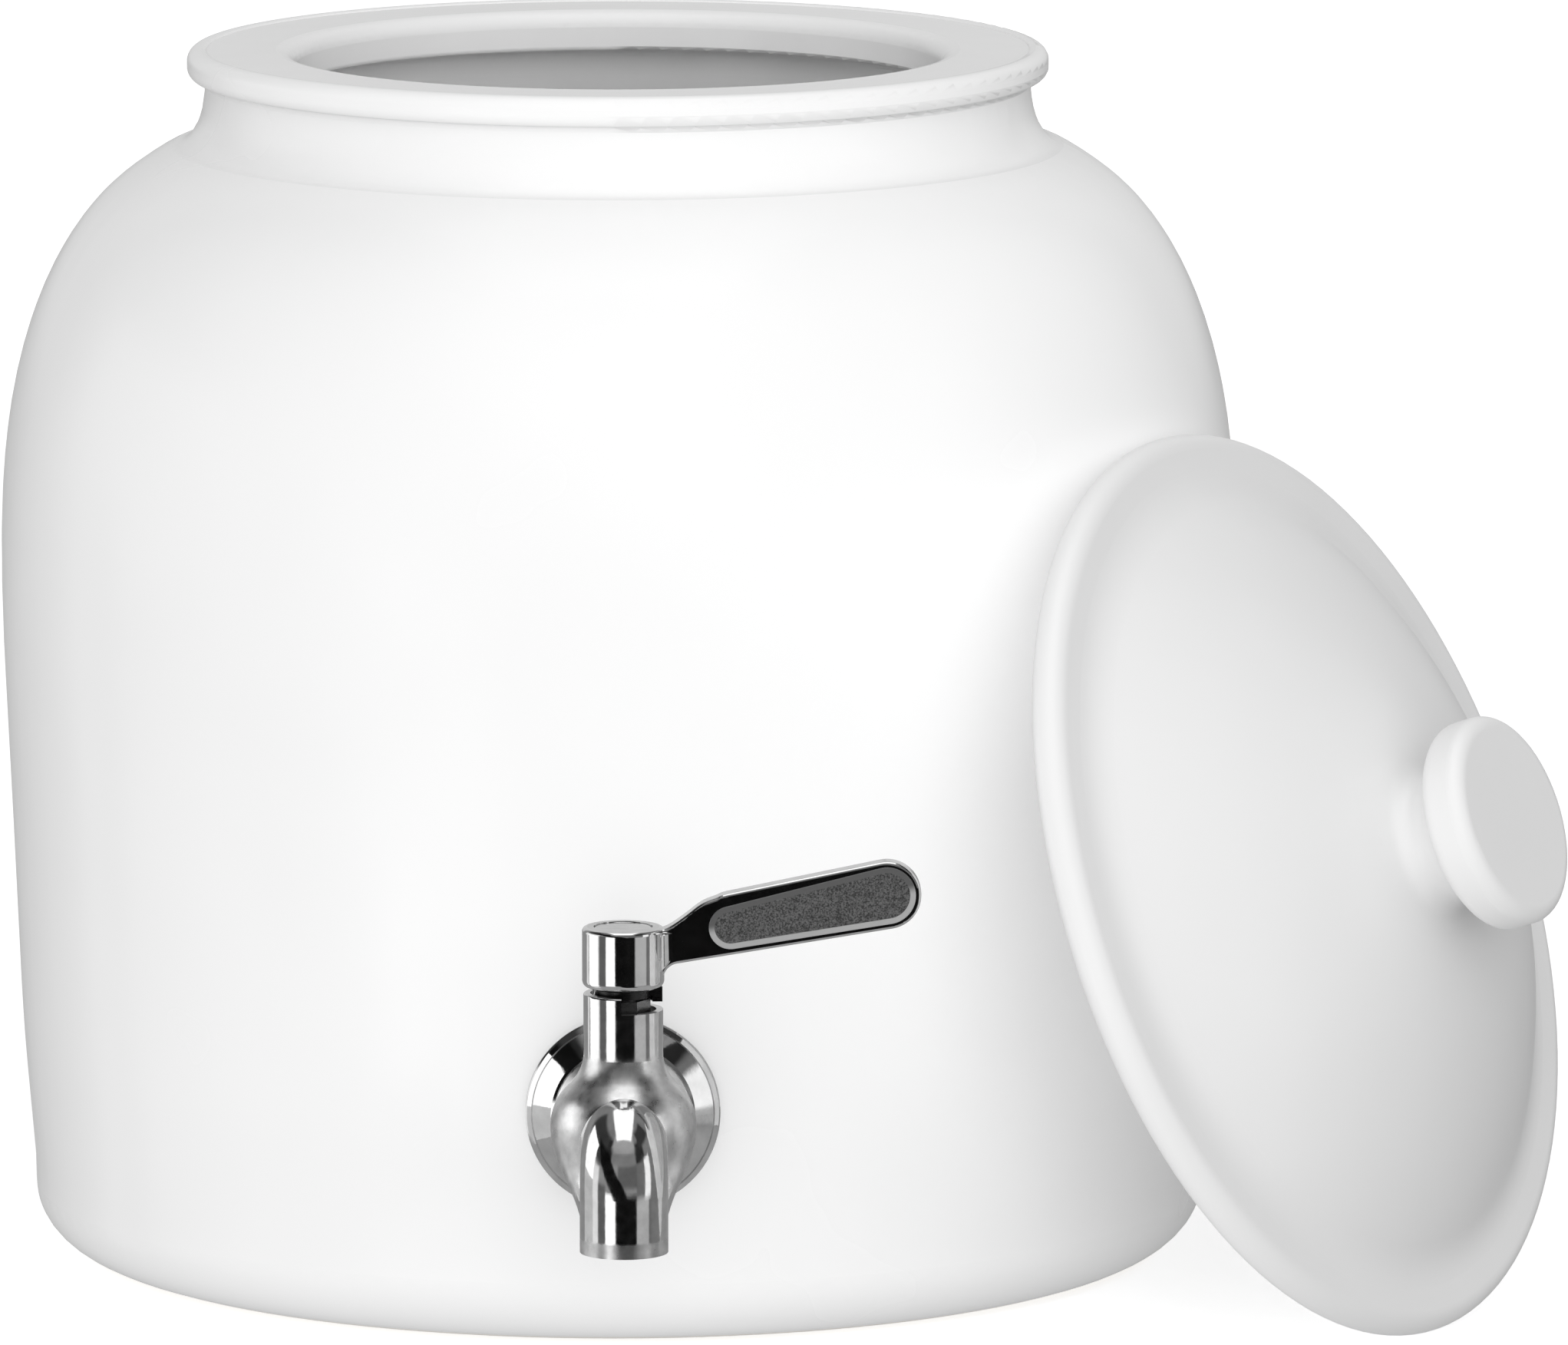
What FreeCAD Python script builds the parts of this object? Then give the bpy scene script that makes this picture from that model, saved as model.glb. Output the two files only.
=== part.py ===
import FreeCAD, Part
import math
import os
from FreeCAD import Placement, Rotation, Vector

# Ceramic crock with a stainless lever spigot and a loose ceramic lid.
# Origin: crock axis at the plane the crock stands on. +Z up, the spigot faces -Y.
# All sizes are millimetres.

# ---- crock -------------------------------------------------------------------
crock_height = 266.0
wall = 8.0                     # fired wall thickness
foot_radius = 112.8            # outer radius of the ring the crock stands on
foot_ring_inner = 97.0
foot_recess = 3.0              # the underside inside the foot ring stands clear of the table
floor_top = 11.0               # height of the inside floor
floor_radius = 103.0
corner_height = 14.5           # height of the rounded bottom corner outside
inner_corner_height = 38.0     # top of the larger rounding inside
# outer wall above the corner as (radius, height), widest a little above half height
wall_points = [(129.3, corner_height), (130.95, inner_corner_height), (133.2, 79.7), (135.0, 119.5),
               (135.95, 159.0), (133.95, 185.9), (128.8, 207.1), (121.4, 223.0), (112.6, 234.2),
               (103.5, 241.3)]
shoulder_end = (97.9, 244.4)   # where the shoulder meets the neck in a crisp line
shoulder_slope = 20.0          # degrees off level at that line
neck_radius = 90.7             # outside of the neck, just under the rim
neck_top = 258.0
neck_inside = 82.0             # inside radius of the neck
neck_inside_rounding = 12.0
rim_radius = 94.6              # outside of the rim
rim_under = 259.4              # underside of the rim
rim_edge_under = 2.5           # rounding of the rim's lower and upper edge
rim_edge_over = 2.8
bead_inner = 90.3              # a low bead runs round the rim's outer edge
bead_height = 0.5
throat_radius = 71.0           # the clear mouth
throat_bottom = 256.6
lip_rounding = 1.0
undercut_rounding = 2.5
mouth_radial = 4.2             # rounded upper edge of the mouth
mouth_vertical = 3.6

# ---- spigot, on the -Y side ------------------------------------------------------
spigot_height = 53.2           # height of the hole through the wall
hole_radius = 9.0
gasket_face = -133.7           # y of the flat face that the escutcheon clamps against
escutcheon_front = -139.2      # y of the face that the spigot's collar clamps
# the dish and the rolled rim of the escutcheon as (radius, y), from the collar to the back
escutcheon_outline = [(14.2, escutcheon_front), (15.4, -138.85), (19.3, -136.3), (19.6, -136.45),
                      (20.5, -135.6), (20.8, -135.1), (20.8, -134.2), (20.4, gasket_face)]
collar_radius = 14.8
collar_front = -144.0
collar_chamfer = 1.0
collar_cone = 4.0              # the collar tapers into the body over this length
barrel_y = -155.0              # vertical axis of the valve barrel and the lever
barrel_radius = 8.45
barrel_top = 82.8
barrel_bore = 7.0
barrel_edge = 0.4
chamber_floor = 45.5
# swelling of the body round the valve, as (height, y of the centre, radius) from the barrel down
bulb_sections = [(70.5, -155.0, 8.4), (66.6, -155.0, 9.1), (62.6, -155.0, 12.0),
                 (58.8, -155.0, 14.6), (54.6, -155.0, 15.5), (49.4, -155.6, 14.9),
                 (44.6, -159.2, 12.9), (40.2, -164.6, 10.5), (36.0, -169.0, 9.0), (32.0, -171.2, 8.7)]
notch_bottom = 79.3            # window cut in the barrel's rim for the stop lug
notch_from = -93.0             # degrees round the barrel from +X, the front is -90
notch_to = 48.0
spout_radius = 9.35
spout_y = -171.5               # axis of the spout's vertical end
spout_bend = 11.5              # bend radius of the spout's axis
spout_end = 30.2
spout_bore = 6.4
spout_bore_from = 32           # degrees into the bend where the wide bore starts
outlet_bore = 7.5
outlet_bore_length = 12.0
port_height = 54.2             # axis of the way through the valve
port_end = -168.5              # the port runs this far forward, into the spout's bore
shank_radius = 8.0
shank_bore = 4.6
shank_end = -100.0             # the threaded shank ends inside the crock here
thread_from = -131.0
thread_pitch = 1.5
thread_depth = 0.7
gasket_radius = 17.5
inner_gasket_radius = 16.0
inner_gasket_face = -121.4
washer_radius = 15.0
washer_thickness = 1.5
nut_flats = 24.0
nut_thickness = 6.5
nut_chamfer = (1.2, 0.7)       # radial and axial size
gasket_blank = 5.0             # thickness before a gasket takes the crock's curve
plate_gap = 0.2                # radial clearance of the ring-shaped pieces on the shank

# ---- valve inside the barrel -------------------------------------------------------
sleeve_bore = 6.0
sleeve_top = 61.0
port_radius = 3.8
plug_radius = 5.95
plug_bottom = 45.9
piston_bottom = 61.5
piston_top = 69.4
piston_radius = 6.93
seal_heights = [64.0, 67.2]    # the two rubber rings on the piston
seal_section = 0.95            # radius of a ring's section
seal_radius = 6.02
groove_radius = 5.05
groove_half = 1.0
stem_radius = 3.2
stem_clear = 0.05              # clearance of every piece that sits on the stem
stem_flat = 2.5                # half distance across the stem's two flats
stem_top = 91.0
washer_bottom = 69.45
bonnet_bottom = 70.5
bonnet_shoulder = 78.4
bonnet_top = 81.5
bonnet_flats = 10.0
stop_bottom = 82.0
stop_radius = 5.6
stop_lug_bottom = 80.8
stop_lug_inner = 6.2
stop_lug_radius = 8.3
stop_lug_from = 0.5            # degrees round the barrel from +X at rest
stop_lug_to = 44.5

# ---- lever --------------------------------------------------------------------------
hub_radius = 8.7
hub_bottom = 84.0
hub_top = 97.0
hub_edge_over = 1.0
hub_edge_under = 1.6
lever_thickness = 4.8
lever_edge = 0.7
blade_start = 5.7                    # the blade sets off inside the hub, this far from its axis
# its upper line up to the straight part, which starts at the crest's end
lever_crest = [(blade_start, 96.5), (8.7, 96.75), (11.0, 98.0), (14.3, 100.45), (17.5, 102.6), (20.0, 103.55)]
crest_end = 22.5
web_root = 11.3                      # distance out where the blade's lower line turns down
web_middle = (9.45, -1.0)            # distance out, and height above the root, of the web's arc
web_foot = (8.45, -3.4)
flare_radius = 3.0                   # hollow rounding from the hub into the blade's faces
flare_over = (95.9, 96.6)            # its top and its underside slope from the hub up to the blade
flare_under = (87.0, 90.6)
flare_slope_start = 7.2
flare_edge = 0.6
lever_heel = (20.6, 97.35, 6.5)      # distance out, height and radius at the hub end
lever_tip = (55.8, 103.8, 7.25)      # the same at the rounded tip
inlay_heel = (22.7, 97.05, 3.4)
inlay_tip = (55.8, 103.8, 4.9)
inlay_bead = 1.2                     # width of the raised bead round the inlay
inlay_recess = 0.8
inlay_proud = 0.3
inlay_floor = 0.45
inlay_edge = 0.25
cap_radius = 6.2
cap_bottom = 95.3
cap_top = 96.8
cap_edge = 0.4
screw_seat = 92.6
screw_head_radius = 3.8
screw_head_height = 2.3
screw_head_edge = 0.5
screw_recess_gap = 0.4
screw_radius = 1.95
screw_clear = 0.02
screw_bottom = 84.6
socket_flats = 3.0
socket_floor = 0.9             # thickness left under the hexagon socket

# ---- lid ------------------------------------------------------------------------------
lid_radius = 100.5
lid_edge = 4.0                 # half of the flange thickness, the edge is fully rounded
groove_rounding = 14.0         # hollow between flange and dome
dome_radius = 135.0
dome_top = 39.4                # height that the dome would reach on its axis
lid_shell = 7.0
ring_outer = 68.0              # locating ring under the lid
ring_inner = 61.5
ring_depth = 7.0
ring_edge = 1.5
ring_root = 8.0                # rounding between the ring and the inside of the dome
knob_radius = 23.0
knob_bottom = 48.6
knob_top = 59.0
knob_edge = 3.2
knob_neck = 14.2
neck_rounding = 4.4
# the lid stands on the floor and leans against the crock's side
lid_turn = -29.9               # direction that the lid faces, degrees from +X
lid_lean = 20.0                # tilt of the lid's plane from vertical
lid_distance = 171.8           # level distance from the crock's axis to the flange's middle
lid_aside = -5.0               # sideways shift of the lid, towards -Y

skin = 0.01                    # tolerance for finding edges by their place
reach_past = 1.0               # how far a cut or a joined piece runs past a face


# ---- drawing helpers --------------------------------------------------------------------
def vec(r, z):
    """A point of a turned profile, in the XZ plane."""
    return Vector(r, 0, z)


def chain(*points):
    """Straight edges through a list of (r, z) points."""
    return [Part.LineSegment(vec(*a), vec(*b)).toShape() for a, b in zip(points, points[1:])]


def rounding(centre, radius, start, end):
    """Circular edge about a centre, angles in degrees from +X towards +Z."""
    spots = []
    for share in (0.0, 0.5, 1.0):
        t = math.radians(start + (end - start) * share)
        spots.append(vec(centre[0] + radius * math.cos(t), centre[1] + radius * math.sin(t)))
    return [Part.Arc(*spots).toShape()]


def quarter(centre, major_end, minor_end):
    """Quarter of an ellipse between the ends of its long and its short half axis."""
    ellipse = Part.Ellipse(vec(*major_end), vec(*minor_end), vec(*centre))
    return [Part.ArcOfEllipse(ellipse, 0, math.pi / 2).toShape()]


def smooth(points, start_angle, end_angle):
    """Spline through (r, z) points that sets off and arrives at the given angles."""
    ends = [Vector(math.cos(math.radians(a)), 0, math.sin(math.radians(a))) for a in (start_angle, end_angle)]
    curve = Part.BSplineCurve()
    curve.interpolate(Points=[vec(*p) for p in points], InitialTangent=ends[0], FinalTangent=ends[1])
    return curve


def turned(edges, axis_point=Vector(0, 0, 0), axis=Vector(0, 0, 1), angle=360):
    """Solid of revolution of a closed outline."""
    return Part.Face(Part.Wire(Part.__sortEdges__(edges))).revolve(axis_point, axis, angle)


def upright(radius, bottom, top, y=barrel_y):
    """Upright cylinder, by default on the barrel's axis."""
    return Part.makeCylinder(radius, top - bottom, Vector(0, y, bottom))


def lying(radius, y_near, y_far, height=spigot_height):
    """Cylinder along Y, from the face nearer the crock's axis to the one further out."""
    return Part.makeCylinder(radius, y_near - y_far, Vector(0, y_near, height), Vector(0, -1, 0))


def hexagon(flats, base, direction, height):
    """Hexagonal prism that starts at base and runs along direction."""
    corner_radius = flats / math.sqrt(3)
    corners = []
    for i in range(7):
        t = math.radians(60 * i)
        corners.append(Vector(corner_radius * math.cos(t), corner_radius * math.sin(t), 0))
    prism = Part.Face(Part.makePolygon(corners)).extrude(Vector(0, 0, height))
    prism.Placement = Placement(base, Rotation(Vector(0, 0, 1), direction))
    return prism


def barrel_sector(inner, outer, bottom, top, start, end):
    """Piece of a ring round the barrel's axis between two angles from +X."""
    outline = chain((inner, bottom), (outer, bottom), (outer, top), (inner, top), (inner, bottom))
    sector = turned(outline, angle=end - start)
    sector.Placement = Placement(Vector(0, barrel_y, 0), Rotation(Vector(0, 0, 1), start))
    return sector


def turned_on_y(points, height=spigot_height):
    """Solid turned about a line along Y, from (radius, y) points."""
    spots = [Vector(r, y, height) for r, y in points]
    face = Part.Face(Part.makePolygon(spots + spots[:1]))
    return face.revolve(Vector(0, 0, height), Vector(0, 1, 0), 360)


def tapered_oval(heel, tip, grow=0.0):
    """Edges of a long oval between two end circles (x, z, radius), and its lower line's angle."""
    hx, hz, hr = heel
    tx, tz, tr = tip
    along = math.degrees(math.atan2(tz - hz, tx - hx))
    taper = math.degrees(math.asin((tr - hr) / math.hypot(tx - hx, tz - hz)))
    up = along + 90 + taper
    down = along - 90 - taper

    def spot(x, z, r, angle):
        t = math.radians(angle)
        return (x + r * math.cos(t), z + r * math.sin(t))

    hr, tr = hr + grow, tr + grow
    edges = chain(spot(hx, hz, hr, up), spot(tx, tz, tr, up))
    edges += rounding((tx, tz), tr, up, down)
    edges += chain(spot(tx, tz, tr, down), spot(hx, hz, hr, down))
    edges += rounding((hx, hz), hr, down, up - 360)
    return edges, down


def plate(edges, y_from, thickness):
    """Flat plate in the XZ plane, from y_from towards -Y."""
    face = Part.Face(Part.Wire(Part.__sortEdges__(edges)))
    face.translate(Vector(0, y_from, 0))
    return face.extrude(Vector(0, -thickness, 0))


# ---- the crock ------------------------------------------------------------------------------
def crock_body():
    outer = smooth(wall_points + [shoulder_end], 90, 180 - shoulder_slope)
    steps = 24                     # points that the inside takes from the outside
    start = outer.parameter(vec(*wall_points[1]))
    inside = []
    for i in range(steps + 1):
        t = start + (outer.LastParameter - start) * i / steps
        way = outer.tangent(t)[0]
        spot = outer.value(t) + Vector(-way.z, 0, way.x) * wall
        inside.append((spot.x, spot.z))
    foot_way = outer.tangent(start)[0]
    foot_angle = math.degrees(math.atan2(foot_way.z, foot_way.x))
    inner = smooth(inside, foot_angle, 180 - shoulder_slope)

    edge_r = rim_radius - rim_edge_under
    top_r = rim_radius - rim_edge_over
    flat_top = crock_height - bead_height
    mouth_r = throat_radius + mouth_radial
    mouth_z = flat_top - mouth_vertical
    undercut_r = neck_inside - undercut_rounding
    undercut_z = throat_bottom - undercut_rounding
    turn_centre = neck_inside + neck_inside_rounding
    turn_end = math.radians(270 - shoulder_slope)
    shoulder_inside = inside[-1]
    run = turn_centre + neck_inside_rounding * math.cos(turn_end) - shoulder_inside[0]
    slope_z = shoulder_inside[1] - run * math.tan(math.radians(shoulder_slope))
    turn_z = slope_z - neck_inside_rounding * math.sin(turn_end)
    slope_start = (shoulder_inside[0] + run, slope_z)

    edges = chain((0, foot_recess), (foot_ring_inner - foot_recess, foot_recess),
                  (foot_ring_inner, 0), (foot_radius, 0))
    edges += quarter((foot_radius, corner_height), wall_points[0], (foot_radius, 0))
    edges += [outer.toShape()]
    edges += quarter((shoulder_end[0], neck_top), shoulder_end, (neck_radius, neck_top))
    edges += rounding((edge_r, neck_top), edge_r - neck_radius, 180, 90)
    edges += rounding((edge_r, rim_under + rim_edge_under), rim_edge_under, -90, 0)
    edges += chain((rim_radius, rim_under + rim_edge_under), (rim_radius, crock_height - rim_edge_over))
    edges += rounding((top_r, crock_height - rim_edge_over), rim_edge_over, 0, 90)
    edges += quarter((top_r, flat_top), (bead_inner, flat_top), (top_r, crock_height))
    edges += chain((bead_inner, flat_top), (mouth_r, flat_top))
    edges += quarter((mouth_r, mouth_z), (throat_radius, mouth_z), (mouth_r, flat_top))
    edges += chain((throat_radius, mouth_z), (throat_radius, throat_bottom + lip_rounding))
    edges += rounding((throat_radius + lip_rounding, throat_bottom + lip_rounding), lip_rounding, 180, 270)
    edges += chain((throat_radius + lip_rounding, throat_bottom), (undercut_r, throat_bottom))
    edges += rounding((undercut_r, undercut_z), undercut_rounding, 90, 0)
    edges += chain((neck_inside, undercut_z), (neck_inside, turn_z))
    edges += rounding((turn_centre, turn_z), neck_inside_rounding, 180, 270 - shoulder_slope)
    edges += chain(slope_start, shoulder_inside)
    edges += [inner.toShape()]
    edges += quarter((floor_radius, inside[0][1]), (floor_radius, floor_top), inside[0])
    edges += chain((floor_radius, floor_top), (0, floor_top), (0, foot_recess))
    body = turned(edges)
    return body.cut(lying(hole_radius, -wall_points[0][0] + 3 * wall, -wall_points[0][0] - wall))


# ---- the spigot's fixed pieces -----------------------------------------------------------------
def spout_path(start_angle=0):
    """The spout's axis: a bend from level to straight down, then a short straight end."""
    centre = Vector(0, spout_y + spout_bend, port_height - spout_bend)
    spots = []
    for angle in (start_angle, (start_angle + 90) / 2, 90):
        t = math.radians(angle)
        spots.append(centre + Vector(0, -math.sin(t), math.cos(t)) * spout_bend)
    bend = Part.Arc(*spots).toShape()
    end = Part.LineSegment(spots[2], Vector(0, spout_y, spout_end)).toShape()
    way = Vector(0, -math.cos(math.radians(start_angle)), -math.sin(math.radians(start_angle)))
    return Part.Wire([bend, end]), spots[0], way


def spout_tube(radius, start_angle=0):
    path, start, way = spout_path(start_angle)
    section = Part.Wire([Part.makeCircle(radius, start, way)])
    return path.makePipeShell([section], True, False)


def spigot_body():
    sections = [Part.Wire([Part.makeCircle(r, Vector(0, y, z))]) for z, y, r in bulb_sections]
    bulb = Part.makeLoft(sections, True, False, False, 3)
    barrel = upright(barrel_radius, port_height, barrel_top)
    barrel = barrel.makeFillet(barrel_edge, [e for e in barrel.Edges if e.BoundBox.ZMin > barrel_top - skin])
    back = spout_y + spout_bend
    outside = bulb.fuse([barrel, spout_tube(spout_radius), lying(spout_radius, barrel_y, back, port_height)])
    chamfer_radius = collar_radius - collar_chamfer
    collar = turned_on_y([(0, escutcheon_front), (collar_radius, escutcheon_front),
                          (collar_radius, collar_front + collar_chamfer), (chamfer_radius, collar_front),
                          (chamfer_radius - collar_cone, collar_front - collar_cone),
                          (0, collar_front - collar_cone)])
    outside = outside.fuse([collar, threaded_shank()])
    bores = [upright(barrel_bore, chamber_floor, barrel_top),
             lying(shank_bore, shank_end, barrel_y),
             lying(port_radius, barrel_y, port_end, port_height),
             spout_tube(spout_bore, spout_bore_from),
             upright(outlet_bore, spout_end, spout_end + outlet_bore_length, spout_y),
             barrel_sector(barrel_bore - reach_past, barrel_radius + reach_past, notch_bottom,
                           barrel_top + reach_past, notch_from, notch_to)]
    for bore in bores:
        outside = outside.cut(bore)
    return outside.removeSplitter()


def threaded_shank():
    """Shank with ring-shaped thread crests, turned in one piece."""
    points = [(0, escutcheon_front), (shank_radius, escutcheon_front), (shank_radius, thread_from)]
    y = thread_from
    while y + thread_pitch < shank_end - thread_pitch:
        points.append((shank_radius - thread_depth, y + thread_pitch / 2))
        points.append((shank_radius, y + thread_pitch))
        y += thread_pitch
    points += [(shank_radius - thread_depth, shank_end), (0, shank_end)]
    return turned_on_y(points)


def escutcheon():
    """Raised dress plate with a rolled rim, held between the collar and the gasket."""
    bore = shank_radius + plate_gap
    return turned_on_y([(bore, escutcheon_front)] + escutcheon_outline + [(bore, gasket_face)])


def outer_gasket(crock):
    """Soft ring pressed to the crock's round side, flat against the escutcheon."""
    inner = gasket_face + gasket_blank
    return lying(gasket_radius, inner, gasket_face).cut(lying(hole_radius, inner, gasket_face)).cut(crock)


def inner_gasket(crock):
    """Soft ring inside the crock, flat against the washer."""
    outer = inner_gasket_face - gasket_blank
    blank = lying(inner_gasket_radius, inner_gasket_face, outer)
    return blank.cut(lying(shank_radius + plate_gap, inner_gasket_face, outer)).cut(crock)


def inner_washer():
    far = inner_gasket_face + washer_thickness
    washer = lying(washer_radius, far, inner_gasket_face)
    return washer.cut(lying(shank_radius + plate_gap, far, inner_gasket_face))


def lock_nut():
    near = inner_gasket_face + washer_thickness
    base = Vector(0, near, spigot_height)
    nut = hexagon(nut_flats, base, Vector(0, 1, 0), nut_thickness)
    far = near + nut_thickness
    corner = nut_flats / math.sqrt(3)
    inset, drop = nut_chamfer
    chamfered = turned_on_y([(0, near), (corner - inset, near), (corner, near + drop),
                             (corner, far - drop), (corner - inset, far), (0, far)])
    return nut.common(chamfered).cut(lying(shank_radius, far, near))


# ---- the valve ------------------------------------------------------------------------------------
def seat_sleeve():
    """Plastic sleeve that the plug turns in, with the way through it."""
    sleeve = upright(barrel_bore, chamber_floor, sleeve_top)
    sleeve = sleeve.cut(upright(sleeve_bore, chamber_floor, sleeve_top))
    reach = barrel_bore + reach_past
    return sleeve.cut(lying(port_radius, barrel_y + reach, barrel_y - reach, port_height))


def valve_plug():
    """Turned plug with its cross hole, the sealing piston above it and the stem."""
    piston = upright(piston_radius, piston_bottom, piston_top)
    stem = upright(stem_radius, piston_top, stem_top)
    plug = upright(plug_radius, plug_bottom, piston_bottom).fuse([piston, stem])
    across = Part.makeCylinder(port_radius, 4 * plug_radius, Vector(-2 * plug_radius, barrel_y, port_height),
                               Vector(1, 0, 0))
    plug = plug.cut(across)
    for height in seal_heights:
        low, high = height - groove_half, height + groove_half
        plug = plug.cut(upright(piston_radius + reach_past, low, high).cut(upright(groove_radius, low, high)))
    round_top = upright(stem_radius + reach_past, hub_bottom, stem_top + reach_past)
    plug = plug.cut(round_top.cut(across_flats(stem_flat)))
    return plug.cut(upright(screw_radius, hub_bottom, stem_top)).removeSplitter()


def across_flats(half):
    """Tall block between the stem's two flats."""
    depth = 4 * stem_radius
    return Part.makeBox(2 * half, depth, hub_top - barrel_top,
                        Vector(-half, barrel_y - depth / 2, barrel_top))


def seal_ring(height):
    """Rubber ring in one of the piston's grooves."""
    return Part.makeTorus(seal_radius, seal_section, Vector(0, barrel_y, height))


def thrust_washer():
    """Plastic washer between the piston and the bonnet nut."""
    outer = upright(piston_radius, washer_bottom, bonnet_bottom)
    return outer.cut(upright(stem_radius + stem_clear, washer_bottom, bonnet_bottom))


def bonnet_nut():
    """Nut that closes the barrel, with a hexagon that shows in the barrel's window."""
    nut = upright(barrel_bore, bonnet_bottom, bonnet_shoulder)
    head = hexagon(bonnet_flats, Vector(0, barrel_y, bonnet_shoulder), Vector(0, 0, 1),
                   bonnet_top - bonnet_shoulder)
    return nut.fuse(head).cut(upright(stem_radius + stem_clear, bonnet_bottom, bonnet_top))


def stop_washer():
    """Disc on the stem with the lug that meets the ends of the barrel's window."""
    disc = upright(stop_radius, stop_bottom, hub_bottom)
    span = (stop_lug_from, stop_lug_to)
    arm = barrel_sector(stop_radius - reach_past, stop_lug_radius, stop_bottom, hub_bottom, *span)
    lug = barrel_sector(stop_lug_inner, stop_lug_radius, stop_lug_bottom, hub_bottom, *span)
    washer = disc.fuse([arm, lug]).cut(upright(stem_radius + stem_clear, stop_bottom, hub_bottom))
    return washer.removeSplitter()


# ---- the lever --------------------------------------------------------------------------------------
def lever_plate():
    """The blade with its rounded rim, from inside the hub to the tip."""
    oval, down = tapered_oval(lever_heel, lever_tip)
    top_line, tip_round, bottom_line = oval[:3]
    heel, tip = (v.Point for v in top_line.Vertexes)
    slope = (tip.z - heel.z) / (tip.x - heel.x)
    top_start = (crest_end, heel.z + slope * (crest_end - heel.x))
    crest = smooth(lever_crest + [top_start], 0, math.degrees(math.atan(slope)))
    low = bottom_line.Vertexes[1].Point
    root_z = low.z - (low.x - web_root) * math.tan(math.radians(down + 90))
    foot = (web_foot[0], root_z + web_foot[1])
    web = Part.Arc(vec(web_root, root_z), vec(web_middle[0], root_z + web_middle[1]), vec(*foot))
    edges = [crest.toShape(), tip_round, bottom_line] + chain(top_start, (tip.x, tip.z))
    edges += chain((low.x, low.z), (web_root, root_z)) + [web.toShape()]
    edges += chain(foot, (blade_start, foot[1]), lever_crest[0])
    blade = plate(edges, barrel_y + lever_thickness / 2, lever_thickness)
    rims = [e for e in blade.Edges if e.BoundBox.YLength < skin and e.BoundBox.XMax > hub_radius + skin]
    return blade.makeFillet(lever_edge, rims)


def hub_flare(side):
    """Fills the corner between the hub and one face of the blade with a hollow rounding."""
    reach = hub_radius + flare_radius
    depth = lever_thickness / 2 + flare_radius
    out = math.sqrt(reach ** 2 - depth ** 2)
    share = hub_radius / reach
    low = min(flare_under)
    centre = Vector(out, barrel_y + side * depth, low)
    on_face = centre - Vector(0, side * flare_radius, 0)
    on_hub = Vector(out * share, barrel_y + side * depth * share, low)
    half_way = centre + (on_face + on_hub - centre * 2).normalize() * flare_radius
    inside = Vector(hub_radius / 2, barrel_y, low)
    hollow = Part.Arc(on_hub, half_way, on_face).toShape()
    plan = Part.Face(Part.Wire([Part.makeLine(inside, on_hub), hollow, Part.makeLine(on_face, inside)]))
    outline = chain((inside.x, flare_under[0]), (flare_slope_start, flare_under[0]),
                    (web_root, flare_under[1]), (web_root, flare_over[1]),
                    (flare_slope_start, flare_over[0]), (inside.x, flare_over[0]),
                    (inside.x, flare_under[0]))
    flare = plate(outline, barrel_y + hub_radius, 2 * hub_radius)
    flare = flare.common(plan.extrude(Vector(0, 0, max(flare_over) - low)))
    rims = [e for e in flare.Edges if e.Curve.TypeId != "Part::GeomLine"]
    return flare.makeFillet(flare_edge, rims)


def lever_handle():
    """Hub and blade in one piece, bored for the stem, the screw and the cap."""
    hub = upright(hub_radius, hub_bottom, hub_top)
    level = [e for e in hub.Edges if e.BoundBox.ZLength < skin]
    hub = hub.makeFillet(hub_edge_over, [e for e in level if e.BoundBox.ZMin > hub_bottom + skin])
    hub = hub.makeFillet(hub_edge_under, [e for e in hub.Edges if e.BoundBox.ZMax < hub_bottom + skin])
    handle = hub.fuse([lever_plate(), hub_flare(-1), hub_flare(1)])
    double_d = upright(stem_radius + stem_clear, hub_bottom, stem_top + 2 * stem_clear)
    cuts = [double_d.common(across_flats(stem_flat + stem_clear)),
            upright(screw_radius + plate_gap, stem_top, screw_seat),
            upright(screw_head_radius + screw_recess_gap, screw_seat, cap_bottom),
            upright(cap_radius + stem_clear, cap_bottom, hub_top)]
    oval = tapered_oval(inlay_heel, inlay_tip, inlay_bead)[0]
    cuts.append(plate(oval, barrel_y - lever_thickness / 2 + inlay_recess, 2 * inlay_recess))
    cuts.append(plate(oval, barrel_y + lever_thickness / 2 + inlay_recess, 2 * inlay_recess))
    for cut in cuts:
        handle = handle.cut(cut)
    return handle.removeSplitter()


def lever_inlay(side):
    """Grained oval with a raised bead round it. Side -1 is the face towards -Y at rest."""
    floor_y = barrel_y + side * (lever_thickness / 2 - inlay_recess)
    height = inlay_recess + inlay_proud
    low_y = floor_y if side < 0 else floor_y + height
    oval = tapered_oval(inlay_heel, inlay_tip, inlay_bead)[0]
    blank = plate(oval, low_y, height)
    outer_y = floor_y + side * height
    level = [e for e in blank.Edges if e.BoundBox.YLength < skin]
    blank = blank.makeFillet(inlay_edge, [e for e in level if abs(e.BoundBox.YMin - outer_y) < skin])
    pan = tapered_oval(inlay_heel, inlay_tip)[0]
    pan_depth = height - inlay_floor + reach_past
    pan_y = floor_y - inlay_floor if side < 0 else floor_y + inlay_floor + pan_depth
    return blank.cut(plate(pan, pan_y, pan_depth))


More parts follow.
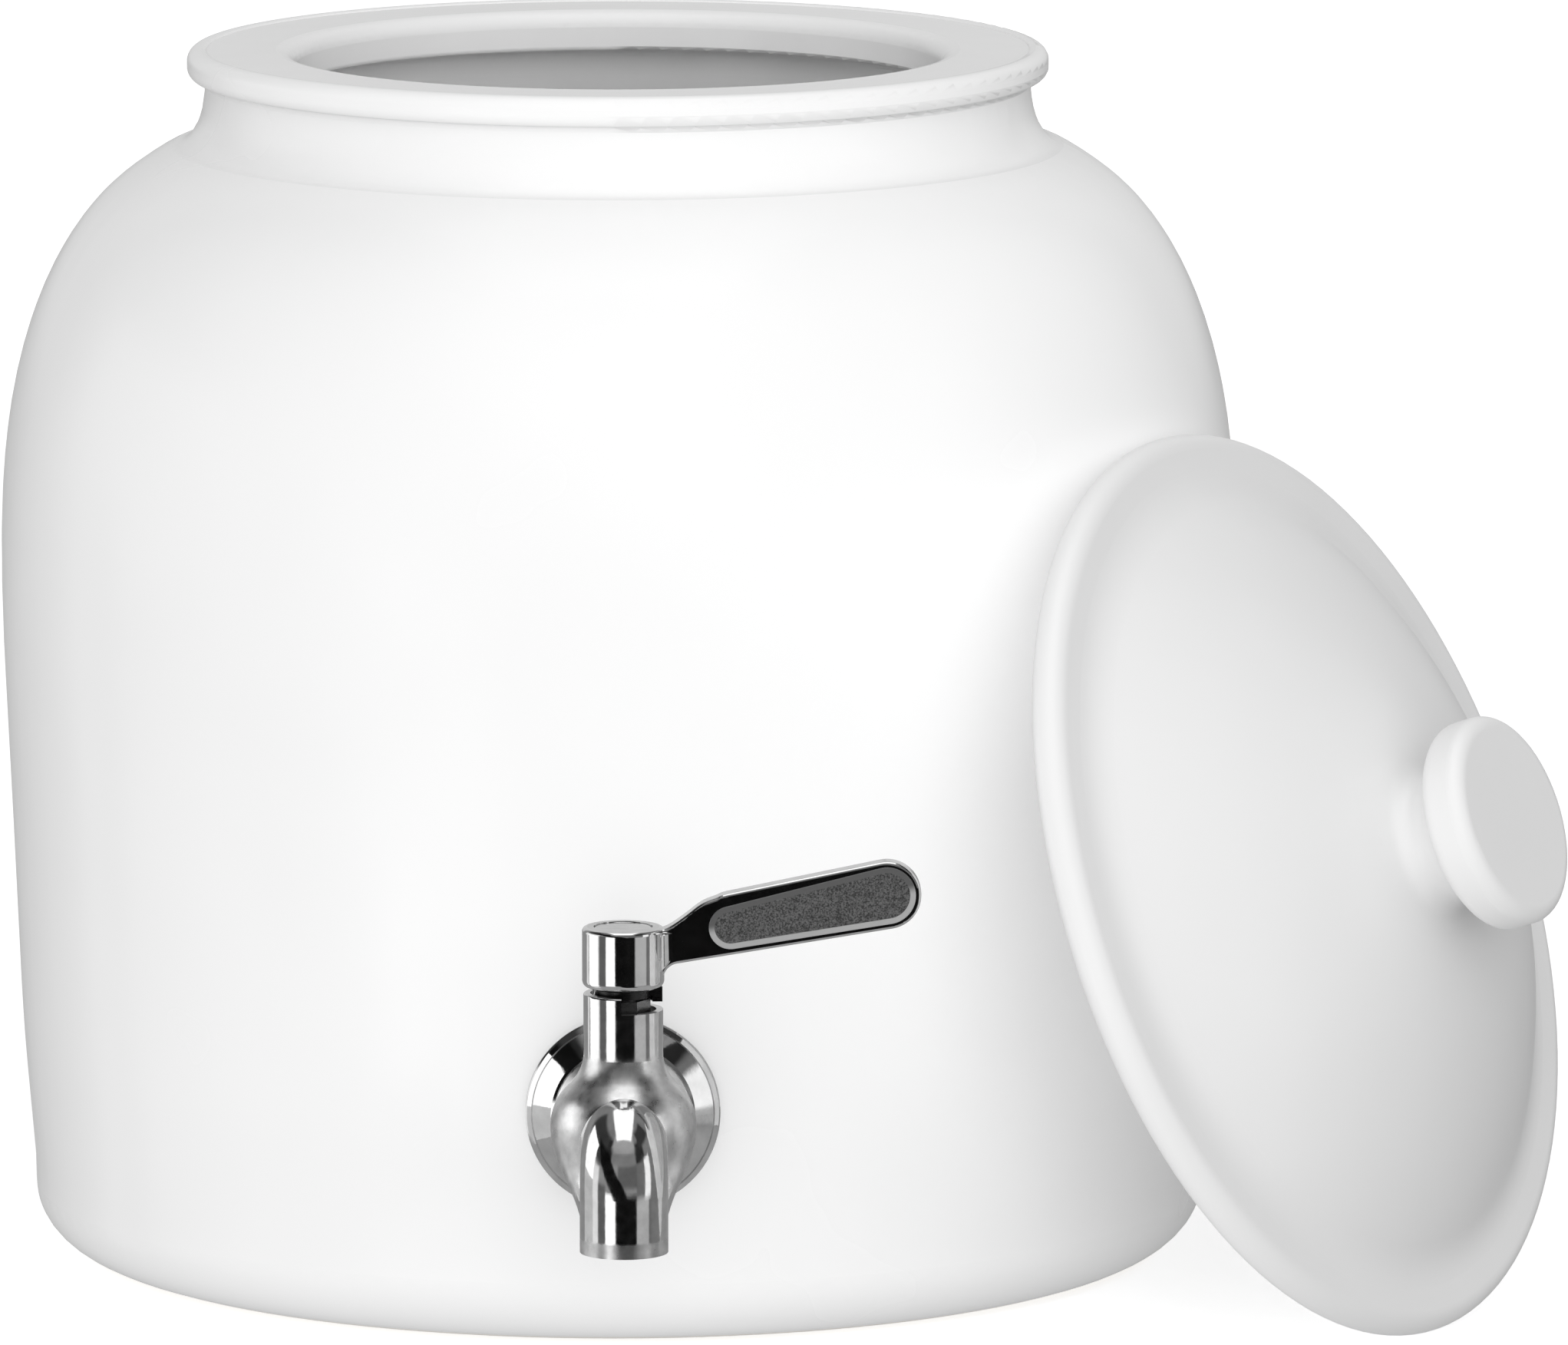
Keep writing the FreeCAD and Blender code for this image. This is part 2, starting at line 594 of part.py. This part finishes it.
def handle_screw():
    """Socket-head screw that holds the hub down on the stem."""
    head = upright(screw_head_radius, screw_seat, screw_seat + screw_head_height)
    head = head.makeFillet(screw_head_edge, [e for e in head.Edges if e.BoundBox.ZMin > screw_seat + skin])
    socket = hexagon(socket_flats, Vector(0, barrel_y, screw_seat + socket_floor), Vector(0, 0, 1),
                     screw_head_height)
    shaft = upright(screw_radius - screw_clear, screw_bottom, screw_seat)
    return head.fuse(shaft).cut(socket)


def handle_cap():
    """Disc pressed into the top of the hub, over the screw."""
    cap = upright(cap_radius, cap_bottom, cap_top)
    return cap.makeFillet(cap_edge, [e for e in cap.Edges if e.BoundBox.ZMin > cap_top - skin])


# ---- the lid ------------------------------------------------------------------------------------------
def lid_profile():
    """Right half of the lid's section, with the flange's underside at height 0."""
    sphere_z = dome_top - dome_radius
    thick = 2 * lid_edge
    edge_r = lid_radius - lid_edge

    neck_r = knob_neck + neck_rounding
    neck_z = sphere_z + math.sqrt((dome_radius + neck_rounding) ** 2 - neck_r ** 2)
    neck_angle = math.degrees(math.atan2(neck_z - sphere_z, neck_r))
    groove_z = thick + groove_rounding
    groove_r = math.sqrt((dome_radius + groove_rounding) ** 2 - (groove_z - sphere_z) ** 2)
    groove_angle = math.degrees(math.atan2(groove_z - sphere_z, groove_r))

    inner_dome = dome_radius - lid_shell
    root_r = ring_inner - ring_root
    root_z = sphere_z + math.sqrt((inner_dome - ring_root) ** 2 - root_r ** 2)
    root_angle = math.degrees(math.atan2(root_z - sphere_z, root_r))
    ring_z = ring_edge - ring_depth

    edges = chain((0, knob_top), (knob_radius - knob_edge, knob_top))
    edges += rounding((knob_radius - knob_edge, knob_top - knob_edge), knob_edge, 90, 0)
    edges += chain((knob_radius, knob_top - knob_edge), (knob_radius, knob_bottom + knob_edge))
    edges += rounding((knob_radius - knob_edge, knob_bottom + knob_edge), knob_edge, 0, -90)
    under_z = knob_bottom - neck_rounding
    edges += chain((knob_radius - knob_edge, knob_bottom), (neck_r, knob_bottom))
    edges += rounding((neck_r, under_z), neck_rounding, 90, 180)
    edges += chain((knob_neck, under_z), (knob_neck, neck_z))
    edges += rounding((neck_r, neck_z), neck_rounding, 180, 180 + neck_angle)
    edges += rounding((0, sphere_z), dome_radius, neck_angle, groove_angle)
    edges += rounding((groove_r, groove_z), groove_rounding, 180 + groove_angle, 270)
    edges += chain((groove_r, thick), (edge_r, thick))
    edges += rounding((edge_r, lid_edge), lid_edge, 90, -90)
    edges += chain((edge_r, 0), (ring_outer + ring_edge, 0))
    edges += rounding((ring_outer + ring_edge, -ring_edge), ring_edge, 90, 180)
    edges += chain((ring_outer, -ring_edge), (ring_outer, ring_z))
    edges += rounding((ring_outer - ring_edge, ring_z), ring_edge, 0, -90)
    edges += chain((ring_outer - ring_edge, -ring_depth), (ring_inner + ring_edge, -ring_depth))
    edges += rounding((ring_inner + ring_edge, ring_z), ring_edge, 270, 180)
    edges += chain((ring_inner, ring_z), (ring_inner, root_z))
    edges += rounding((root_r, root_z), ring_root, 0, root_angle)
    edges += rounding((0, sphere_z), inner_dome, root_angle, 90)
    edges += chain((0, sphere_z + inner_dome), (0, knob_top))
    return edges


def lid():
    piece = turned(lid_profile())
    turn = math.radians(lid_turn)
    lean = math.radians(lid_lean)
    faces = Vector(math.cos(lean) * math.cos(turn), math.cos(lean) * math.sin(turn), math.sin(lean))
    middle = Vector(lid_distance * math.cos(turn) - lid_aside * math.sin(turn),
                    lid_distance * math.sin(turn) + lid_aside * math.cos(turn),
                    (lid_radius - lid_edge) * math.cos(lean) + lid_edge)
    piece.Placement = Placement(middle - faces * lid_edge, Rotation(Vector(0, 0, 1), faces))
    return piece


# ---- all pieces ------------------------------------------------------------------------------------------
crock = crock_body()
pieces = {
    "crock_body": crock,
    "lid": lid(),
    "spigot_body": spigot_body(),
    "escutcheon": escutcheon(),
    "outer_gasket": outer_gasket(crock),
    "inner_gasket": inner_gasket(crock),
    "inner_washer": inner_washer(),
    "lock_nut": lock_nut(),
    "seat_sleeve": seat_sleeve(),
    "valve_plug": valve_plug(),
    "stem_seal_lower": seal_ring(seal_heights[0]),
    "stem_seal_upper": seal_ring(seal_heights[1]),
    "thrust_washer": thrust_washer(),
    "bonnet_nut": bonnet_nut(),
    "stop_washer": stop_washer(),
    "lever_handle": lever_handle(),
    "lever_inlay_front": lever_inlay(-1),
    "lever_inlay_back": lever_inlay(1),
    "handle_screw": handle_screw(),
    "handle_cap": handle_cap(),
}

os.makedirs("parts", exist_ok=True)
for name, shape in pieces.items():
    print(name, shape.isValid(), len(shape.Solids), round(shape.Volume / 1000, 2))
    shape.exportStep("parts/" + name + ".step")
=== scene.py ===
import math

import bpy
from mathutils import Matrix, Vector


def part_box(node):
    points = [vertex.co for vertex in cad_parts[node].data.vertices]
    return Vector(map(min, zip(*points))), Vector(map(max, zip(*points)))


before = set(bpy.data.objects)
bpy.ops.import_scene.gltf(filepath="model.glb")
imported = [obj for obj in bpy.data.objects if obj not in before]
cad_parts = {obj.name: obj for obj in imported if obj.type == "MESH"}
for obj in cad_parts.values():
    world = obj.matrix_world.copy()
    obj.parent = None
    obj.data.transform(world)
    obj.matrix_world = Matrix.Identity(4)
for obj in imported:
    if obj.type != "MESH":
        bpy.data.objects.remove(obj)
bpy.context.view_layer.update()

# Looks of a white glazed crock with a polished lever spigot and a loose lid.
# Metres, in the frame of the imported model: crock axis at x = y = 0, spigot towards -Y.

scene = bpy.context.scene
scene.view_settings.view_transform = "Standard"

MM = 0.001
spigot_low, spigot_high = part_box("spigot_body")
inlay_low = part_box("lever_inlay_front")[0]
barrel_foot = spigot_high.z - 13.3 * MM         # where the barrel swells into the valve body
spout_back = spigot_low.y + 12.9 * MM           # the polished spout lies in front of this
lip_height = 3.2 * MM                           # ground end of the spout
inlay_rise = 0.204                              # slope of the inlay's long middle line
inlay_foot = 4.0 * MM                           # height of that line over the inlay's low end
bead_edge = (2.15 * MM, 2.35 * MM)              # how far out the inlay turns from panel to bead
bare_ring = 1.3 * MM                            # the glaze stops this high over the crock's foot


# ---- camera ----------------------------------------------------------------------------------
sensor_width = 36.0
lens_length = 362.784141                        # millimetres, like the sensor: a long lens
camera_place = Vector((-0.0177, -3.4481, 0.6726))
pitch_down = math.radians(8.995)
yaw_right = math.radians(0.9)


def make_camera():
    data = bpy.data.cameras.new("camera")
    data.sensor_width = sensor_width
    data.lens = lens_length
    data.clip_start = 0.1
    data.clip_end = 60
    camera = bpy.data.objects.new("camera", data)
    scene.collection.objects.link(camera)
    camera.location = camera_place
    camera.rotation_euler = (math.pi / 2 - pitch_down, 0, -yaw_right)
    scene.camera = camera


# ---- node helpers ----------------------------------------------------------------------------
def add(tree, kind, inputs=None, **settings):
    """Adds a shader node; inputs are linked if they are sockets and set if they are values."""
    made = tree.nodes.new("ShaderNode" + kind)
    for name, value in settings.items():
        setattr(made, name, value)
    for key, value in (inputs or {}).items():
        if isinstance(value, bpy.types.NodeSocket):
            tree.links.new(value, made.inputs[key])
        else:
            made.inputs[key].default_value = value
    return made


def maths(tree, operation, *values):
    return add(tree, "Math", dict(enumerate(values)), operation=operation).outputs[0]


def between(tree, value, low, high, soft):
    """1 where value lies between low and high, falling to 0 over the softness on each side."""
    rise = add(tree, "MapRange", {0: value, 1: low - soft, 2: low + soft}, interpolation_type="SMOOTHSTEP")
    fall = add(tree, "MapRange", {0: value, 1: high - soft, 2: high + soft, 3: 1.0, 4: 0.0},
               interpolation_type="SMOOTHSTEP")
    return maths(tree, "MULTIPLY", rise.outputs[0], fall.outputs[0])


def blend(tree, mask, low, high):
    """Number that goes from low to high with the mask."""
    return add(tree, "Mix", {0: mask, 2: low, 3: high}, data_type="FLOAT").outputs[0]


def material(name, colour, roughness, metallic=0.0):
    """A new material, its node tree and its main shader."""
    made = bpy.data.materials.new(name)
    made.use_nodes = True
    tree = made.node_tree
    shader = tree.nodes["Principled BSDF"]
    shader.inputs["Base Color"].default_value = (*colour, 1)
    shader.inputs["Roughness"].default_value = roughness
    shader.inputs["Metallic"].default_value = metallic
    return made, tree, shader


def glow(shader, level):
    """Makes a material give off white light."""
    shader.inputs["Emission Color"].default_value = (1, 1, 1, 1)
    shader.inputs["Emission Strength"].default_value = level


def spots(tree, scale, detail=2.0, stretch=(1, 1, 1)):
    """Noise in the object's own metres, scale in waves per metre."""
    place = add(tree, "TexCoord").outputs["Object"]
    place = add(tree, "Mapping", {0: place, 3: stretch}).outputs[0]
    return add(tree, "TexNoise", {"Vector": place, "Scale": scale, "Detail": detail}).outputs[0]


def ranged(tree, value, low, high, start=0.3, end=0.7):
    """Number that goes from low to high while value goes from start to end."""
    return add(tree, "MapRange", {0: value, 1: start, 2: end, 3: low, 4: high}).outputs[0]


def bump(tree, shader, height, depth, strength=1.0):
    made = add(tree, "Bump", {"Height": height, "Distance": depth, "Strength": strength})
    tree.links.new(made.outputs[0], shader.inputs["Normal"])


def grey(tree, level):
    """Colour with the same red, green and blue."""
    return add(tree, "CombineColor", {0: level, 1: level, 2: level}).outputs[0]


# ---- light -----------------------------------------------------------------------------------
# What shows in reflections, strongly in the metal and faintly in the glaze: cards round the object,
# as (from, to) azimuth in degrees right of the camera, (from, to) elevation in degrees, lean,
# softness in degrees and brightness. Upright metal mirrors elevation level_line; a card leans by
# that many degrees of azimuth for each degree of elevation above it.
level_line = -9
cards = [
    ((-181, 181), (-91, -22), 0, 6, 0.36),      # grey table top
    ((-181, 181), (30, 91), 0, 6, 0.22),        # dim room above
    ((-181, -145), (-1, 66), 0, 3, 0.66),       # light wall behind the crock
    ((145, 181), (-1, 66), 0, 3, 0.66),
    ((-124, -72), (-22, 17), 0, 3, 0.92),       # left window
    ((-115, -108), (-22, -2), 0, 2, 0.12),
    ((-72, -50), (-22, 4), 0, 3, 0.13),         # dark stand between the left lights
    ((-125, -56), (20, 56), 0, 4, 0.04),        # black overhang on the left
    ((-60, -38), (32, 56), 0, 3, 0.02),
    ((33, 80), (-17, 30), 0, 3, 0.17),          # grey wall on the right
    ((33, 68), (-17, -5), 0, 2, 0.5),
    ((36, 66), (29, 52), 0, 3, 0.02),           # black overhang on the right
    ((55, 95), (42, 63), 0, 3, 0.04),
    ((76, 112), (-17, 32), 0, 3, 0.2),
    ((-18, 36), (3, 30), 0, 4, 0.13),           # dim middle, lighter higher up
    ((-40, 36), (30, 45), 0, 5, 0.22),
    ((-45, 40), (45, 64), 0, 5, 0.4),
    ((-50, -23), (-20, -3), 0, 2, 1.6),         # softbox left of the camera
    ((-25, 16), (-32, 40), -1.35, 3, 0.004),    # black flag that leans to the left
    ((8, 33), (-32, -3), 0, 3, 0.006),
    ((55, 73), (-6, 29), 0.15, 2, 1.1),         # narrow window on the right
]
room_level = 0.3
overhead_half_width = 0.34                      # overhead softbox, as its size over its height
overhead_front = -0.52
overhead_back = 0.36
overhead_soft = 0.04
overhead_level = 1.5
soft_back = 0.42                                # soft light on the ceramic, from behind and from in front
soft_front = 0.845
light_target = (0, 0, 0.13)
card_near_end = (-66 * MM, -136 * MM)           # small upright cards on the left of the tap
card_far_end = (-74 * MM, -178 * MM)
floor_radius = 9.0
floor_sides = 120
floor_glow = 0.45


def make_world():
    """White to the camera, cards in reflections and soft light on everything else."""
    world = bpy.data.worlds.new("studio")
    scene.world = world
    world.use_nodes = True
    tree = world.node_tree
    tree.nodes.clear()
    way = add(tree, "SeparateXYZ", {0: add(tree, "TexCoord").outputs["Generated"]}).outputs
    forward = maths(tree, "MULTIPLY", way[1], -1.0)
    azimuth = maths(tree, "DEGREES", maths(tree, "ARCTAN2", way[0], forward))
    elevation = maths(tree, "DEGREES", maths(tree, "ARCSINE", way[2]))

    mirrored = room_level
    climb = maths(tree, "SUBTRACT", elevation, level_line)
    for azimuths, elevations, lean, soft, level in cards:
        upright = azimuth
        if lean:
            upright = maths(tree, "SUBTRACT", azimuth, maths(tree, "MULTIPLY", climb, lean))
        mask = maths(tree, "MULTIPLY", between(tree, upright, *azimuths, soft),
                     between(tree, elevation, *elevations, soft))
        mirrored = blend(tree, mask, mirrored, level)
    above = maths(tree, "MAXIMUM", way[2], 0.01)
    across = maths(tree, "DIVIDE", way[0], above)
    along = maths(tree, "DIVIDE", way[1], above)
    mask = maths(tree, "MULTIPLY",
                 between(tree, across, -overhead_half_width, overhead_half_width, overhead_soft),
                 between(tree, along, overhead_front, overhead_back, overhead_soft))
    mirrored = blend(tree, mask, mirrored, overhead_level)

    # soft light: bright in front and below, dimmer behind and low on the right
    below = maths(tree, "MAXIMUM", maths(tree, "MULTIPLY", way[2], -1.0), 0.0)
    front = ranged(tree, maths(tree, "ADD", forward, below), soft_back, soft_front, -0.6, 0.2)
    low = ranged(tree, way[2], 1.0, 0.0, -0.35, 0.15)
    low_right = maths(tree, "MULTIPLY", low, ranged(tree, way[0], 0.0, 1.0, 0.1, 0.65))
    soft_light = maths(tree, "MULTIPLY", front, blend(tree, low_right, 1.0, 0.0))

    path = add(tree, "LightPath").outputs
    level = blend(tree, path["Is Glossy Ray"], soft_light, mirrored)
    level = blend(tree, path["Is Camera Ray"], level, 1.0)
    background = add(tree, "Background", {"Strength": level, "Color": (1, 1, 1, 1)})
    out = add(tree, "OutputWorld")
    tree.links.new(background.outputs[0], out.inputs[0])


def near_card(name, bottom, top, level):
    """A small bright card beside the tap that shows only in reflections."""
    corners = [(*card_near_end, bottom), (*card_far_end, bottom), (*card_far_end, top), (*card_near_end, top)]
    mesh = bpy.data.meshes.new(name)
    mesh.from_pydata(corners, [], [(0, 1, 2, 3)])
    card = bpy.data.objects.new(name, mesh)
    scene.collection.objects.link(card)
    made, _, shader = material(name, (0, 0, 0), 1.0)
    glow(shader, level)
    mesh.materials.append(made)
    for kind in ("camera", "diffuse", "shadow", "transmission", "volume_scatter"):
        setattr(card, "visible_" + kind, False)


def softbox(name, place, size, power):
    """A round area light turned to the object, which lights the ceramic and isn't mirrored."""
    data = bpy.data.lights.new(name, "AREA")
    data.shape = "DISK"
    data.size = size
    data.energy = power
    light = bpy.data.objects.new(name, data)
    scene.collection.objects.link(light)
    light.location = place
    light.rotation_euler = (Vector(light_target) - Vector(place)).to_track_quat("-Z", "Y").to_euler()
    light.visible_glossy = False
    light.visible_camera = False
    return light


def group(name, nodes):
    """A collection of CAD nodes, for a light or its shadows to be limited to."""
    made = bpy.data.collections.new(name)
    for node in nodes:
        made.objects.link(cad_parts[node])
    return made


def make_lights():
    key = softbox("key", (0.25, -2.7, 1.5), 2.4, 11)
    fill = softbox("fill", (0.5, -2.9, 0.1), 2.4, 13)
    # of the pieces, only the ceramic ones cast a shadow from these two
    ceramic = group("ceramic", ("crock_body", "lid"))
    key.light_linking.blocker_collection = ceramic
    fill.light_linking.blocker_collection = ceramic
    # the crock alone gets light from the right, as if the lid didn't stand in the way
    side = softbox("side", (2.2, -1.9, 0.3), 1.6, 12)
    crock_only = group("crock_only", ("crock_body",))
    side.light_linking.receiver_collection = crock_only
    side.light_linking.blocker_collection = crock_only


def part_the_light():
    """Keeps the lever from dimming the crock, and the crock's white side out of the tap's reflections."""
    for name in ("lever_handle", "lever_inlay_front", "lever_inlay_back", "handle_cap"):
        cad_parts[name].visible_diffuse = False
        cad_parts[name].visible_shadow = False
    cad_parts["crock_body"].visible_glossy = False


def make_floor():
    """A round pale floor that goes on past every view."""
    turns = [math.radians(360 / floor_sides * i) for i in range(floor_sides)]
    rim = [(floor_radius * math.cos(turn), floor_radius * math.sin(turn), 0) for turn in turns]
    mesh = bpy.data.meshes.new("floor")
    mesh.from_pydata(rim, [], [list(range(floor_sides))])
    floor = bpy.data.objects.new("floor", mesh)
    scene.collection.objects.link(floor)
    made, _, shader = material("floor", (0.96, 0.96, 0.96), 0.9)
    shader.inputs["Specular IOR Level"].default_value = 0.0
    glow(shader, floor_glow)
    mesh.materials.append(made)
    floor.visible_glossy = False
    floor.visible_diffuse = False
    floor.visible_shadow = False


# ---- materials -------------------------------------------------------------------------------
def crock_glaze():
    """Thick clear gloss over a white body, bare on the ring that it stands on."""
    made, tree, shader = material("crock_glaze", (0.93, 0.93, 0.925), 0.1)
    shader.inputs["Specular IOR Level"].default_value = 0.2
    place = add(tree, "SeparateXYZ", {0: add(tree, "TexCoord").outputs["Object"]}).outputs
    bare = between(tree, place[2], -1.0, bare_ring, 0.3 * MM)
    white = ranged(tree, spots(tree, 14), 0.915, 0.935)
    biscuit = add(tree, "CombineColor", {0: 0.82, 1: 0.79, 2: 0.74}).outputs[0]
    colour = add(tree, "Mix", {0: bare, 6: grey(tree, white), 7: biscuit}, data_type="RGBA").outputs[2]
    tree.links.new(colour, shader.inputs["Base Color"])
    gloss = ranged(tree, spots(tree, 22), 0.2, 0.28)
    tree.links.new(blend(tree, bare, gloss, 0.8), shader.inputs["Roughness"])
    bump(tree, shader, spots(tree, 30, 1.0), 0.25 * MM, 0.35)
    return made


def lid_glaze():
    """Satin white glaze with a soft sheen."""
    made, tree, shader = material("lid_glaze", (0.92, 0.92, 0.925), 0.4)
    tree.links.new(grey(tree, ranged(tree, spots(tree, 18), 0.905, 0.93)), shader.inputs["Base Color"])
    tree.links.new(ranged(tree, spots(tree, 40), 0.34, 0.44), shader.inputs["Roughness"])
    bump(tree, shader, spots(tree, 45, 1.0), 0.2 * MM, 0.3)
    return made


def polished(name, level, rough_low, rough_high):
    """Polished cast steel: cloudy, with fine scuffs."""
    made, tree, shader = material(name, (level, level, level), rough_low, 1.0)
    cloud = spots(tree, 260, 3.0)
    tree.links.new(grey(tree, ranged(tree, cloud, level - 0.08, level + 0.05)), shader.inputs["Base Color"])
    tree.links.new(ranged(tree, spots(tree, 420, 3.0), rough_low, rough_high), shader.inputs["Roughness"])
    bump(tree, shader, spots(tree, 700, 2.0), 0.004 * MM)
    return made


def spigot_steel():
    """Polished barrel and spout, satin between them and on the ground lip of the outlet."""
    made, tree, shader = material("polished_steel", (0.76, 0.76, 0.76), 0.05, 1.0)
    place = add(tree, "SeparateXYZ", {0: add(tree, "TexCoord").outputs["Object"]}).outputs
    below_barrel = between(tree, place[2], -1.0, barrel_foot, 1.0 * MM)
    swelling = maths(tree, "MULTIPLY", below_barrel, between(tree, place[1], spout_back, 1.0, 0.8 * MM))
    lip = between(tree, place[2], -1.0, spigot_low.z + lip_height, 0.4 * MM)
    satin = maths(tree, "MAXIMUM", swelling, lip)
    cloud = spots(tree, 330, 4.0)
    level = blend(tree, satin, ranged(tree, cloud, 0.68, 0.82), ranged(tree, cloud, 0.6, 0.82))
    tree.links.new(grey(tree, level), shader.inputs["Base Color"])
    scuff = spots(tree, 520, 3.0)
    rough = blend(tree, satin, ranged(tree, scuff, 0.04, 0.12), ranged(tree, scuff, 0.26, 0.36))
    tree.links.new(rough, shader.inputs["Roughness"])
    bump(tree, shader, spots(tree, 900, 2.0), 0.005 * MM)
    return made


def brushed(name, level, roughness):
    """Steel with fine level lines."""
    made, tree, shader = material(name, (level, level, level), roughness, 1.0)
    lines = spots(tree, 900, 2.0, (1, 1, 14))
    tree.links.new(grey(tree, ranged(tree, lines, level * 0.88, level * 1.1)), shader.inputs["Base Color"])
    tree.links.new(ranged(tree, lines, roughness - 0.06, roughness + 0.08), shader.inputs["Roughness"])
    bump(tree, shader, lines, 0.01 * MM)
    return made


def lever_grain():
    """Dark blasted panel inside a smoother raised bead, with a painted highlight on the bead's lower run."""
    made, tree, shader = material("lever_grain", (0.1, 0.1, 0.1), 0.6, 0.3)
    place = add(tree, "SeparateXYZ", {0: add(tree, "TexCoord").outputs["Object"]}).outputs
    middle = (inlay_low.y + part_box("lever_inlay_back")[1].y) / 2
    out = maths(tree, "ABSOLUTE", maths(tree, "SUBTRACT", place[1], middle))
    bead = ranged(tree, out, 0.0, 1.0, *bead_edge)
    grains = spots(tree, 3200, 3.0)
    panel = ranged(tree, grains, 0.035, 0.17, 0.35, 0.65)
    # painted highlight: the bead's lower run gets a lighter colour in place of the light that would catch it
    across = maths(tree, "SUBTRACT", place[2], maths(tree, "MULTIPLY", place[0], inlay_rise))
    painted_highlight_mask = between(tree, across, -1.0, inlay_low.z + inlay_foot - inlay_rise * inlay_low.x, 1.2 * MM)
    rim = blend(tree, painted_highlight_mask, 0.13, 0.5)
    tree.links.new(grey(tree, blend(tree, bead, panel, rim)), shader.inputs["Base Color"])
    tree.links.new(blend(tree, bead, 0.55, 0.42), shader.inputs["Roughness"])
    bump(tree, shader, grains, 0.05 * MM, 0.6)
    return made


def soft_plastic(name, colour, roughness):
    """Moulded rubber or plastic, faintly uneven."""
    made, tree, shader = material(name, colour, roughness)
    rough = ranged(tree, spots(tree, 500), roughness - 0.05, roughness + 0.08)
    tree.links.new(rough, shader.inputs["Roughness"])
    bump(tree, shader, spots(tree, 900), 0.01 * MM)
    return made


def dress():
    """Gives every CAD node its finish."""
    steel = spigot_steel()
    plate = polished("escutcheon_steel", 0.8, 0.03, 0.08)
    lever = polished("lever_steel", 0.78, 0.03, 0.08)
    turned = brushed("turned_steel", 0.62, 0.24)
    shaded = brushed("shaded_steel", 0.28, 0.3)
    dark = brushed("dark_steel", 0.05, 0.3)
    grain = lever_grain()
    silicone = soft_plastic("silicone", (0.86, 0.87, 0.88), 0.5)
    rubber = soft_plastic("seal_rubber", (0.03, 0.03, 0.03), 0.4)
    ptfe = soft_plastic("ptfe", (0.9, 0.9, 0.88), 0.35)
    finish = {"crock_body": crock_glaze(), "lid": lid_glaze(), "spigot_body": steel, "escutcheon": plate,
              "outer_gasket": silicone, "inner_gasket": silicone, "inner_washer": turned,
              "lock_nut": turned, "seat_sleeve": ptfe, "valve_plug": shaded,
              "stem_seal_lower": rubber, "stem_seal_upper": rubber, "thrust_washer": ptfe,
              "bonnet_nut": shaded, "stop_washer": dark, "lever_handle": lever,
              "lever_inlay_front": grain, "lever_inlay_back": grain, "handle_screw": turned,
              "handle_cap": lever}
    for name, made in finish.items():
        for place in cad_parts[name].material_slots:
            place.material = made


make_camera()
make_world()
make_lights()
make_floor()
near_card("bright_card", 50 * MM, 98 * MM, 1.4)
near_card("grey_card", 20 * MM, 50 * MM, 0.6)
part_the_light()
dress()
